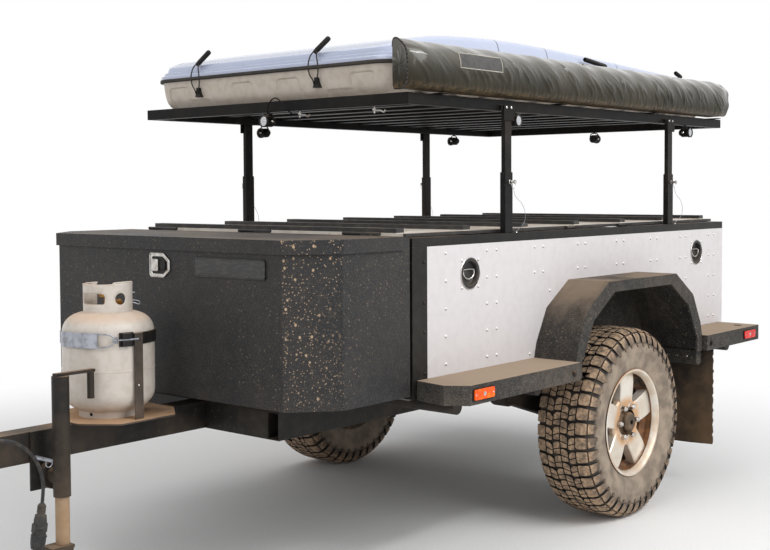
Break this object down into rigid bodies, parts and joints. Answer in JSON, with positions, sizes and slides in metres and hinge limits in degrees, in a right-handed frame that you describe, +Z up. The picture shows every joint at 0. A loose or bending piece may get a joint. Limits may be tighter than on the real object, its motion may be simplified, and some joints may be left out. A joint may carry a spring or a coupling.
{
  "type": "off-road trailer",
  "caption": "Two-wheel off-road cargo trailer with a lidded front box, gas cylinder, fold-away jack, telescoping roof rack, hard-shell tent and bagged awning.",
  "frame": {"origin": "on the ground, midway between the coupler's nose and the tail, on the centre line", "axes": "+X forward to the coupler, +Y left, +Z up"},
  "size_m": [4.284, 1.96, 2.0311],
  "materials": {
    "textured_black": "black textured coating with dust",
    "bare_steel": "worn zinc",
    "dark_steel": "black paint",
    "rubber_spring": "matte black rubber",
    "silver_panel": "light silver satin paint",
    "cup_metal": "polished recess",
    "amber_lens": "amber lens",
    "red_lens": "red lens",
    "black_plastic": "black moulded plastic",
    "cylinder_paint": "beige gloss paint",
    "valve_brass": "brass",
    "rack_black": "satin black",
    "deck_panel": "dusty light panel",
    "tyre_rubber": "dusty tread rubber",
    "alloy": "dusty machined alloy",
    "hub_iron": "dark iron",
    "tent_shell": "glossy moulded shell",
    "awning_cloth": "coated olive cloth"
  },
  "bodies": {
    "chassis": {"drawbar": "textured_black", "coupler": "textured_black", "frame_rails": "textured_black", "cross_members": "textured_black", "step_outriggers": "textured_black", "suspension_mounts": "textured_black", "trailing_arms": "dark_steel", "stub_axles": "bare_steel", "air_springs": "rubber_spring", "dampers": "dark_steel", "tub_floor": "silver_panel", "side_panel_left": "silver_panel", "side_panel_right": "silver_panel", "corner_posts": "textured_black", "front_wall": "textured_black", "rear_frame": "textured_black", "top_rail": "textured_black", "tie_down_cups": "cup_metal", "fender_left": "textured_black", "fender_right": "textured_black", "front_steps": "textured_black", "rear_steps": "textured_black", "amber_lamps": "amber_lens", "red_lamps": "red_lens", "mud_flaps": "rubber_spring", "front_box": "textured_black", "box_latch": "bare_steel", "blank_plate": "black_plastic", "cylinder_tray": "textured_black", "gas_cylinder": "cylinder_paint", "cylinder_valve": "valve_brass", "cylinder_band": "dark_steel", "lower_posts": "dark_steel", "jack_bracket": "dark_steel", "lead_cable": "rubber_spring", "lead_plug": "black_plastic"},
    "wheel_left": {"tyre_left": "tyre_rubber", "rim_left": "alloy", "hub_left": "hub_iron"},
    "wheel_right": {"tyre_right": "tyre_rubber", "rim_right": "alloy", "hub_right": "hub_iron"},
    "box_lid": {"box_lid": "textured_black"},
    "deck_cover": {"deck_cover": "deck_panel"},
    "tailgate": {"tailgate": "silver_panel", "tailgate_latch": "bare_steel"},
    "rack": {"upper_posts": "dark_steel", "rack_brackets": "dark_steel", "rack_frame": "rack_black", "rack_slats": "rack_black", "flood_lamps": "black_plastic", "tent_tray": "tent_shell", "tent_catches": "black_plastic", "awning_bag": "awning_cloth"},
    "tent_lid": {"tent_lid": "tent_shell"},
    "jack": {"jack_tube": "dark_steel"},
    "jack_leg": {"jack_leg": "bare_steel"},
    "jack_fork": {"jack_fork": "dark_steel"},
    "jack_wheel": {"jack_wheel": "rubber_spring"}
  },
  "joints": [
    {"name": "wheel_left_spin", "type": "hinge", "parent": "chassis", "child": "wheel_left", "pos_m": [-0.852, 0.806, 0.407], "axis": [0, 1, 0], "continuous": true},
    {"name": "wheel_right_spin", "type": "hinge", "parent": "chassis", "child": "wheel_right", "pos_m": [-0.852, -0.806, 0.407], "axis": [0, 1, 0], "continuous": true},
    {"name": "box_lid_hinge", "type": "hinge", "parent": "chassis", "child": "box_lid", "pos_m": [0.4905, 0, 1.2523], "axis": [0, -1, 0], "range_deg": [0, 75]},
    {"name": "deck_cover_hinge", "type": "hinge", "parent": "chassis", "child": "deck_cover", "pos_m": [-0.852, 0.711, 1.2453], "axis": [-1, 0, 0], "range_deg": [0, 16]},
    {"name": "tailgate_hinge", "type": "hinge", "parent": "chassis", "child": "tailgate", "pos_m": [-2.0693, 0, 0.7095], "axis": [0, -1, 0], "range_deg": [0, 90]},
    {"name": "rack_lift", "type": "slide", "parent": "chassis", "child": "rack", "axis": [0, 0, 1], "range_m": [-0.19, 0]},
    {"name": "tent_lid_hinge", "type": "hinge", "parent": "rack", "child": "tent_lid", "pos_m": [-2.136, 0, 1.877], "axis": [0, -1, 0], "range_deg": [0, 30]},
    {"name": "jack_swivel", "type": "hinge", "parent": "chassis", "child": "jack", "pos_m": [1.468, 0.115, 0.481], "axis": [0, 1, 0], "range_deg": [0, 90]},
    {"name": "jack_leg_slide", "type": "slide", "parent": "jack", "child": "jack_leg", "axis": [0, 0, 1], "range_m": [0, 0.145]},
    {"name": "jack_caster", "type": "hinge", "parent": "jack_leg", "child": "jack_fork", "pos_m": [1.468, 0.115, 0.26], "axis": [0, 0, 1], "continuous": true},
    {"name": "jack_wheel_spin", "type": "hinge", "parent": "jack_fork", "child": "jack_wheel", "pos_m": [1.506, 0.115, 0.104], "axis": [0, 1, 0], "continuous": true}
  ]
}
